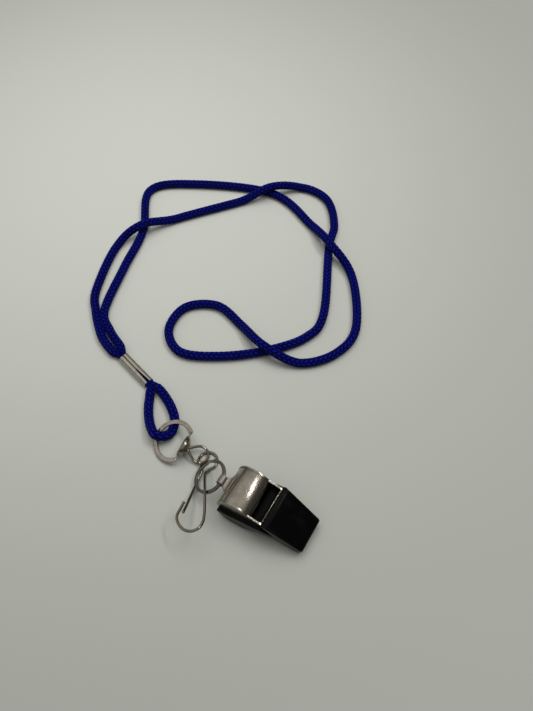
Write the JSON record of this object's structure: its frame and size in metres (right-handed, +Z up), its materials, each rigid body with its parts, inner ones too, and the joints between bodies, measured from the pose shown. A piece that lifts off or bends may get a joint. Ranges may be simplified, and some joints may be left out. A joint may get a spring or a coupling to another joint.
{
  "type": "pea whistle with lanyard",
  "caption": "Nickel-plated metal pea whistle with a black mouth grip, hung by a split ring, wire hook and swivel on a long blue braided neck cord.",
  "frame": {"origin": "on the table, under the middle of the box round the whistle and its metal fittings", "axes": "+X along the laid-out fittings towards the mouth end, +Y across the barrel, +Z up"},
  "size_m": [0.2119, 0.244, 0.0208],
  "materials": {
    "nickel": "worn satin nickel plate",
    "wire": "bright nickel plate",
    "grip": "gloss moulded",
    "cork": "cork",
    "cord": "woven braid"
  },
  "bodies": {
    "whistle": {"barrel_shell": "nickel", "left_side_plate": "nickel", "right_side_plate": "nickel", "windway_roof": "nickel", "lanyard_lug": "nickel", "mouth_grip": "grip"},
    "pea": {"pea": "cork"},
    "ring": {"split_ring": "wire"},
    "hook": {"hook_wire": "wire"},
    "gate": {"gate_wire": "wire"},
    "bail": {"swivel_bail": "wire"},
    "cup": {"swivel_cup": "wire"},
    "clip": {"clip_ring": "wire"},
    "cord": {"ferrule": "wire", "neck_cord": "cord", "eye_cord": "cord"}
  },
  "joints": [
    {"name": "pea_roll", "type": "hinge", "parent": "whistle", "child": "pea", "pos_m": [0.01214, 0.0063, 0.0104], "axis": [0, 1, 0], "continuous": true},
    {"name": "ring_swing", "type": "hinge", "parent": "whistle", "child": "ring", "pos_m": [-0.0021, 0.0063, 0.01256], "axis": [0, 1, 0], "range_deg": [-30, 73]},
    {"name": "hook_swing", "type": "hinge", "parent": "ring", "child": "hook", "pos_m": [-0.0172, 0.0078, 0.0039], "axis": [-0.089, 0.9848, 0.149], "range_deg": [-15, 0]},
    {"name": "gate_flex", "type": "hinge", "parent": "hook", "child": "gate", "pos_m": [-0.01726, 0.00911, 0.0015], "axis": [0, 0, 1], "range_deg": [0, 14], "stiffness_Nm_per_rad": 0.05},
    {"name": "bail_swing", "type": "hinge", "parent": "hook", "child": "bail", "pos_m": [-0.0215, 0.0153, 0.0018], "axis": [-0.1302, 0.9915, 0], "range_deg": [-6, 6]},
    {"name": "swivel_spin", "type": "hinge", "parent": "bail", "child": "cup", "pos_m": [-0.0319, 0.0139, 0.0063], "axis": [0.9304, 0.0979, -0.3532], "continuous": true},
    {"name": "clip_tilt", "type": "hinge", "parent": "cup", "child": "clip", "pos_m": [-0.0319, 0.0139, 0.0063], "axis": [0, 0.9636, 0.2672], "range_deg": [-45, 45]},
    {"name": "cord_swing", "type": "hinge", "parent": "clip", "child": "cord", "pos_m": [-0.0463, 0.0173, 0.0042], "axis": [0.36, 0.88, 0.31], "range_deg": [-5, 10]}
  ]
}
